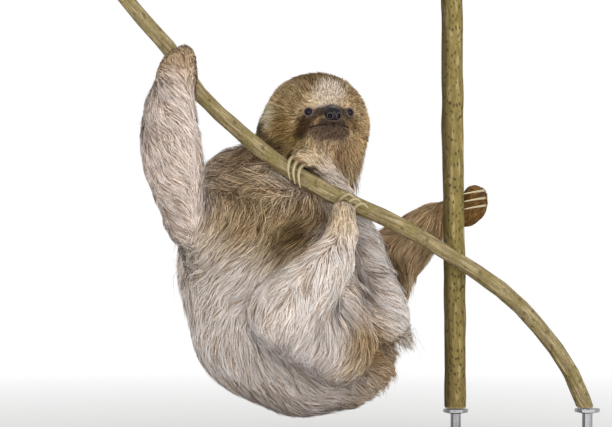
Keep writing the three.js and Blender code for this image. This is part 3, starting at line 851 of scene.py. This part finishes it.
def make_coat():
    roots, facing = roots_on(skin.data)
    share = shares(roots)
    length, width, _, mess, gather = (share @ COAT_TABLE).T
    face = step(16, 56, near_face(roots))
    length = mix(FACE_LENGTH, length - TRIM, face) * rng.uniform(*LENGTHS, len(roots)) * MM
    width = mix(FACE_WIDTH, width, face) * rng.uniform(*WIDTHS, len(roots)) * MM
    height = np.clip(-BODY.at(outline_values, roots), 1.2 * MM, 20 * MM) * rng.uniform(*HEIGHTS, len(roots))
    tousled = step(60, 30, from_point(roots, "neck", TOUSLED))
    mess = mess * (1 + 2.2 * tousled)
    base = coat_colour(roots, share)
    shade = hair_shade(roots, share, tousled)
    hang = hanging(roots)
    stray = rng.random(len(roots)) < STRAYS * (1 + HEAD_STRAYS * share[:, HEAD] * face)
    width = np.where(stray, FACE_WIDTH * MM, width)
    length = length * (1 + 0.6 * hang) * (1 + stray)
    lean = facing * [1, 1, 0.35] + [0, 0, 0.25]  # of the normals of hair that hangs
    lean = SOFTNESS * mix(facing, lean, hang[:, None])
    owner = share.argmax(1)
    pieces = []
    for index, node in enumerate(FLESH):
        mine = np.flatnonzero(owner == index)
        short = kind(node) in ("head", "hand", "foot", "tail")
        segments = 2 if short else 3
        guides = guides_of(roots[mine], GUIDE_SPACING * (0.6 if short else 1))
        follow = (0.9 - 0.35 * tousled[mine]) * (1 - 0.8 * hang[mine]) * (1 - 0.75 * stray[mine])
        path = lead(roots[mine], length[mine], height[mine], follow, mess[mine], hang[mine], segments)
        turn = rng.normal(0, TURNS, len(mine)) * mess[mine]
        path += np.cross(facing[mine], path - path[0]) * turn[:, None]
        t = (np.arange(segments + 1) / segments)[:, None, None]
        pull = (gather * ~stray)[mine][:, None] * t**1.3
        path = mix(path, path[:, guides], pull)
        clear = np.min([HARD.at(hard_values, row) for row in path[1:]], axis=0) > CLEAR
        up = unit(facing[mine] + rng.normal(0, ROLLS, (len(mine), 3)))
        there = np.stack([coat_colour(row, shares(row)) for row in path])
        tint = gradient_rows(segments + 1)[:, None] * shade[mine] * base[mine] ** (1 - RUN) * there**RUN
        tint *= np.minimum(1, PALEST / tint.max(-1, keepdims=True))
        place = unwrap(roots[mine])
        order = np.argsort(place[:, 1], kind="stable")
        parts = max(1, math.ceil(len(mine) / TUFTS_PER_PIECE))
        for part in range(parts):
            pick = order[part * len(mine) // parts:(part + 1) * len(mine) // parts]
            pick = pick[clear[pick]]
            name = f"coat_{node}_{part + 1}"
            mesh = tuft_mesh(name, path[:, pick], up[pick], lean[mine][pick], width[mine][pick],
                             tint[:, pick], unwrap(roots[mine][pick]) if parts > 1 else place[pick])
            pieces.append(link(name, mesh))
    return pieces


coat = make_coat()


# ---- materials ----
class Look:
    """The shader nodes of a material or a world."""

    def __init__(self, owner, main):
        owner.use_nodes = True
        self.owner = owner
        self.nodes, self.links = owner.node_tree.nodes, owner.node_tree.links
        self.main = self.nodes[main]

    def put(self, name, value, node=None):
        """Gives an input, of the main node or another, a number, a colour or an output."""
        socket = (node or self.main).inputs[name]
        if isinstance(value, bpy.types.NodeSocket):
            self.links.new(value, socket)
        else:
            socket.default_value = value

    def add(self, kind, *values, settings=(), **named):
        """The outputs of a new node, whose inputs are given in their order or by name."""
        made = self.nodes.new("ShaderNode" + kind)
        for setting, value in settings:
            setattr(made, setting, value)
        for index, value in enumerate(values):
            self.put(index, value, made)
        for name, value in named.items():
            self.put(name.replace("_", " "), value, made)
        return made.outputs

    def math(self, kind, operation, *values, **named):
        return self.add(kind, *values, settings=[("operation", operation)], **named)

    def noise(self, scale, detail, stretch=(1, 1, 1)):
        """Noise in the row frame's metres, scale to the metre."""
        place = self.add("Mapping", Vector=self.add("TexCoord")["Object"], Scale=stretch)["Vector"]
        return self.add("TexNoise", Vector=place, Scale=scale, Detail=detail)["Fac"]

    def ramp(self, value, low, high, out_low, out_high):
        return self.add("MapRange", Value=value, From_Min=low, From_Max=high, To_Min=out_low,
                        To_Max=out_high)["Result"]

    def two_tone(self, value, dark, light, low=0, high=1):
        """Colours the surface from dark, where the value is low, to light."""
        colour = self.nodes.new("ShaderNodeValToRGB")
        for element, rgb, position in zip(colour.color_ramp.elements, (dark, light), (low, high)):
            element.color = (*linear(rgb), 1)
            element.position = position
        self.put("Fac", value, colour)
        self.put("Base Color", colour.outputs["Color"])

    def bump(self, value, distance):
        self.put("Normal", self.add("Bump", Height=value, Distance=distance)["Normal"])

    def show(self, share, shader, output):
        """Mixes another shader in by a share, and gives that to the tree's output."""
        mixed = self.add("MixShader", share, self.main.outputs[0], shader)["Shader"]
        self.put("Surface", mixed, self.nodes[output])


def material(name, roughness, specular=0.3):
    look = Look(bpy.data.materials.new(name), "Principled BSDF")
    look.put("Roughness", roughness)
    look.put("Specular IOR Level", specular)
    return look


def tinted(name, roughness, specular, scale, spread, bump=0, stretch=(1, 1, 1)):
    """The mesh's own colours, broken up by fine noise, with a little bump."""
    look = material(name, roughness, specular)
    tint = look.add("VertexColor", settings=[("layer_name", "tint")])["Color"]
    shade = look.ramp(look.noise(scale, 4, stretch), 0.25, 0.75, 1 - spread, 1 + spread)
    look.put("Base Color", look.math("VectorMath", "SCALE", tint, Scale=shade)["Vector"])
    if bump:
        look.bump(look.noise(scale, 5, stretch), bump)
    return look.owner


def dress(piece, made, colours):
    piece.data.materials.append(made)
    paint(piece.data, colours)


COAT_MATERIAL = tinted("coat", 0.72, 0.18, 900, 0.16)
for piece in coat:
    piece.data.materials.append(COAT_MATERIAL)


def paint_skin():
    p = vertices_of(skin.data)
    colours = coat_colour(p, shares(p))
    face = step(18, 40, near_face(p))
    colours *= mix(1, DARK * 0.8, face[:, None])
    lids = near_lids(p)
    height, along = mouth_line(in_head(p))
    in_front = step(28, 34, in_head(p)[:, 1]) * step(21, 18, along)
    dress(skin, tinted("skin", 0.6, 0.3, 700, 0.2, 0.0004), layered(colours, [
        ((92, 77, 82), step(5.1, 4.4, lids)), ((40, 30, 28), step(3.9, 3.4, lids)),
        ((30, 21, 17), step(1, 0.3, np.abs(height)) * in_front)]))


paint_skin()


# ---- eyes ----
def make_eye(side):
    """A ball with a bulge in front, and a dark brown iris round a black pupil."""
    work = bmesh.new()
    bmesh.ops.create_uvsphere(work, u_segments=48, v_segments=32, radius=EYE_RADIUS)
    name = "eyeball_" + side
    mesh = mesh_from_work(name, work)
    p = vertices_of(mesh)
    angle = np.degrees(np.arccos(np.clip(unit(p)[:, 2], -1, 1)))
    p *= (1 + 0.05 * step(44, 28, angle))[:, None] - 0.012
    turn = Vector((0, 0, 1)).rotation_difference(Vector(EYE_AIM[side])).to_matrix()
    move(mesh, p @ np.array(turn).T + EYES[side])
    smooth(mesh)
    piece = link(name, mesh)
    pupil, rim = step(19, 15, angle), step(52, 60, angle)
    dress(piece, EYE_MATERIAL, layered(linear((26, 17, 12)), [((6, 5, 5), pupil), ((40, 33, 31), rim)]))
    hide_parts("eye_" + side)


EYE_MATERIAL = tinted("eye", 0.06, 0.2, 1500, 0.25)
for side in SIDES:
    make_eye(side)


# ---- nose ----
NOSE_REACH = (8.8, 5.4, 7.2)  # millimetres, as all of these
NOSTRIL = (4.2, 3.9, -3.2)
NOSTRIL_SIZE = (2.1, 2.4, 2.3)
PAD_SCALE, RIM_SCALE = 5.6, 2.3  # about their mean radii, which turn their measures into distances


def nostril(q):
    """0 at the middle of the nearer nostril, 1 at its edge."""
    return norm((np.abs(q) * [1, 0, 0] + q * [0, 1, 1] - NOSTRIL) / NOSTRIL_SIZE)


def make_nose():
    """A pad with a soft rim round each nostril and a groove between them."""
    space = Space(["nose_pad"], NOSE_VOXEL, 3 * MM)
    q = in_head(space.places(np.stack(np.indices(space.shape), -1).reshape(-1, 3)), NOSE)
    taper = 1 - 0.12 * step(-1, 7, q[:, 2])
    pad = norm(q / NOSE_REACH / np.stack([taper, taper, np.ones_like(taper)], -1))
    pad = (pad - 1) * PAD_SCALE
    rim = (nostril(q) - 1) * RIM_SCALE
    pad -= 0.9 * np.exp(-((rim - 0.5) / 0.8) ** 2) * step(-1, 2, q[:, 1])
    pad += 0.7 * np.exp(-(q[:, 0] / 0.8) ** 2) * step(0, 3, q[:, 1]) * step(3, -1, q[:, 2])
    pad = -soft_min(-pad, rim, 0.8)
    values = soften((pad * MM).reshape(space.shape).astype(np.float32), 2)
    piece = link("nose", mesh_from("nose", *space.surface(values)))
    q = in_head(vertices_of(piece.data), NOSE)
    hole = nostril(q)
    ring = step(0.42, 0.12, np.abs(hole - 1.18)) * step(1.5, 3.5, q[:, 1])
    # Painted shade: the inside of each nostril, near black.
    inside = step(1.1, 0.95, hole)
    dress(piece, tinted("nose", 0.2, 0.34, 2600, 0.3, 0.00012),
          layered(linear((20, 17, 18)), [((74, 61, 65), ring), ((4, 3, 3), inside)]))
    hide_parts("nose_pad")


make_nose()


# ---- claws ----
def rounded(name, node, levels):
    """A node's own mesh, made smooth."""
    points, triangles = mesh_of(node)
    work = bmesh.new()
    corners = [work.verts.new(p) for p in points]
    for a, b, c in triangles:
        work.faces.new((corners[a], corners[b], corners[c]))
    bmesh.ops.remove_doubles(work, verts=work.verts, dist=1e-6)
    bmesh.ops.recalc_face_normals(work, faces=work.faces)
    bmesh.ops.join_triangles(work, faces=work.faces, angle_face_threshold=0.7, angle_shape_threshold=0.7)
    piece = into_scene(name, mesh_from_work(name, work))
    rounding = piece.modifiers.new("smooth", "SUBSURF")
    rounding.levels = rounding.render_levels = levels
    shaped = bpy.data.meshes.new_from_object(piece.evaluated_get(bpy.context.evaluated_depsgraph_get()))
    bpy.data.objects.remove(piece)
    shaped.name = name
    smooth(shaped)
    return link(name, shaped)


CLAW_MATERIAL = tinted("claw", 0.42, 0.4, 1400, 0.12, 0.00015)
for claw in CLAWS:
    piece = rounded(claw.replace("claw", "nail"), claw, 2)
    p = vertices_of(piece.data)
    away = norm(p - claw_root(claw)) / MM
    tip, root = step(5, 20, away), step(7, 1, away)
    dress(piece, CLAW_MATERIAL,
          layered(linear((146, 130, 92)), [((188, 174, 138), tip), ((112, 92, 62), root)]))
    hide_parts(claw)


# ---- vine and stem ----
GRAIN_RADIUS = 10 * MM  # at which a way round a stem is measured
GRAIN_RUN = 0.09  # how much a length along a stem counts in the ridges' noise, so that they run along it


def round_the_grain(p, slant):
    """Places on a stem's bark, in metres: round it and along it."""
    run = p @ slant
    stops = np.linspace(run.min(), run.max(), 40)
    middle = [p[np.abs(run - stop) < 12 * MM].mean(0) for stop in stops]
    core = np.stack([np.interp(run, stops, axis) for axis in np.transpose(middle)], -1)
    out = flat_to(p - core, slant)
    side = np.cross(slant, [0, 1, 0])
    around = np.arctan2(out @ side, out[:, 1]) * GRAIN_RADIUS
    return np.stack([around, run, 0 * around], -1)


def make_bark(name, node, slant, colours_of, made):
    """A node's shape with ridges, lumps and sawn ends."""
    space = Space([node], BARK_VOXEL, 4 * MM)
    mesh = mesh_from(name, *space.surface(soften(space.distances(*mesh_of(node)), 2)))
    piece = link(name, mesh)
    p = vertices_of(mesh)
    normals = np.array([v.normal for v in mesh.vertices])
    low, high = np.array(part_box(node))
    sawn = step(2.5, 0, np.minimum(p[:, 2] - low[2], high[2] - p[:, 2]) / MM)
    grain = round_the_grain(p, unit(slant)) * [1, GRAIN_RUN, 1]
    ridges = ripple(grain, 5 * MM, 31) * 0.22 + ripple(grain, 2.6 * MM, 32) * 0.14
    lumps = ripple(p, 34 * MM, 33) * 0.25
    out = (ridges + lumps) * (1 - sawn) - 0.35
    move(mesh, p + normals * out[:, None] * MM)
    mesh.update()
    dress(piece, made, colours_of(p, grain, sawn))
    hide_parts(node)


def vine_colours(p, grain, sawn):
    return layered(linear((138, 123, 88)), [
        ((110, 95, 60), 0.7 * step(-0.1, 1.1, ripple(grain, 5 * MM, 31))),
        ((182, 166, 126), 0.7 * step(0.1, 1.1, ripple(grain, 3.4 * MM, 43))),
        ((124, 112, 64), 0.5 * step(-0.2, 1, ripple(p, 30 * MM, 41))),
        ((84, 70, 44), 0.6 * step(0.8, 1.5, ripple(p, 8 * MM, 42))),
        ((192, 164, 118), sawn)])


def post_colours(p, grain, sawn):
    # Painted shade: the stem is darker on its left side, as seen from the camera.
    shaded = np.sin(grain[:, 0] / GRAIN_RADIUS)
    flecks = ripple(p * [1, 1, 0.5], 4.3 * MM, 53) + ripple(p[:, [1, 2, 0]] * [1, 0.6, 1], 2.6 * MM, 54)
    return layered(linear((130, 114, 64)), [
        ((112, 98, 54), 0.7 * step(-0.1, 1, ripple(grain, 4 * MM, 51))),
        ((170, 154, 106), 0.7 * step(0.4, 1.2, ripple(p * [1, 1, 0.5], 8 * MM, 52))),
        ((72, 60, 34), 0.8 * step(0, 0.9, shaded)),
        ((60, 47, 29), 0.9 * step(0.95, 1.6, flecks)),
        ((198, 172, 128), sawn)])


make_bark("vine", "perch_vine", (1, 0, -0.9), vine_colours,
          tinted("vine_bark", 0.75, 0.2, 420, 0.22, 0.0006))
make_bark("stem", "perch_post", (0, 0, 1), post_colours,
          tinted("stem_bark", 0.7, 0.2, 420, 0.25, 0.0006, (1, 1, 0.25)))


# ---- display stand ----
def wood_material():
    look = material("stand_wood", 0.45)
    grain = look.noise(60, 6, (0.12, 1, 1))
    look.two_tone(grain, (58, 42, 30), (104, 78, 55), 0.35, 0.68)
    look.bump(grain, 0.0003)
    return look.owner


def steel_material():
    look = material("stand_steel", 0.3, 0.5)
    look.put("Metallic", 1)
    brushed = look.noise(900, 2, (1, 1, 0.05))
    look.two_tone(brushed, (150, 152, 156), (196, 198, 200))
    look.put("Roughness", look.ramp(brushed, 0.3, 0.7, 0.22, 0.4))
    return look.owner


WOOD, STEEL = wood_material(), steel_material()
for node, made in (("stand_base", WOOD), ("stand_rod_vine", STEEL), ("stand_rod_post", STEEL)):
    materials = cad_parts[node].data.materials
    materials.clear()
    materials.append(made)


# ---- floor, light and camera ----
def make_floor():
    """A wide pale disc that fades into the white round it."""
    work = bmesh.new()
    bmesh.ops.create_circle(work, cap_ends=True, segments=96, radius=14)
    floor = into_scene("floor", mesh_from_work("floor", work))
    look = material("floor", 0.9, 0.1)
    look.put("Base Color", (0.84, 0.84, 0.83, 1))
    away = look.math("VectorMath", "LENGTH", look.add("TexCoord")["Object"])["Value"]
    far = look.ramp(away, 0.35, 1.3, 0, 1)
    share = look.math("Math", "MULTIPLY", far, look.add("LightPath")["Is Camera Ray"])["Value"]
    look.show(share, look.add("Emission")["Emission"], "Material Output")
    floor.data.materials.append(look.owner)


make_floor()


def make_world():
    """A soft even light that shows as plain white behind the model."""
    world = bpy.data.worlds.new("studio")
    look = Look(world, "Background")
    look.put("Color", (1, 1, 1, 1))
    look.put("Strength", 0.58)
    path = look.add("LightPath")
    seen = look.math("Math", "MAXIMUM", path["Is Camera Ray"], path["Is Transmission Ray"])["Value"]
    white = look.add("Background", Color=(1, 1, 1, 1), Strength=1)["Background"]
    look.show(seen, white, "World Output")
    SCENE.world = world


make_world()

# Lamps: place, width, power.
LAMPS = {"key": ((-1.1, -1.6, 1.6), 1.4, 11.5), "fill": ((1.6, -1.3, 0.8), 1.4, 14.5),
         "low": ((0.1, -1.9, 0.2), 1.4, 22), "top": ((0.3, 0.9, 2.0), 1.2, 7.5)}
AIM = Vector((0, 0, 0.22))
CAMERA_DISTANCE, CAMERA_HEIGHT = 2.3, 0.2368
VIEW_WIDTH = 0.5814  # metres that the picture spans at the animal
SENSOR_WIDTH = 36

for name, (place, size, power) in LAMPS.items():
    lamp = bpy.data.lights.new(name, "AREA")
    lamp.size, lamp.energy = size, power
    lit = into_scene(name, lamp)
    lit.location = place
    lit.rotation_euler = (AIM - Vector(place)).to_track_quat("-Z", "Y").to_euler()

camera = into_scene("camera", bpy.data.cameras.new("camera"))
camera.location = (0, -CAMERA_DISTANCE, CAMERA_HEIGHT)
camera.rotation_euler = (math.pi / 2, 0, 0)
camera.data.sensor_width = SENSOR_WIDTH
camera.data.lens = SENSOR_WIDTH * CAMERA_DISTANCE / VIEW_WIDTH
SCENE.camera = camera
SCENE.view_settings.view_transform = "Standard"
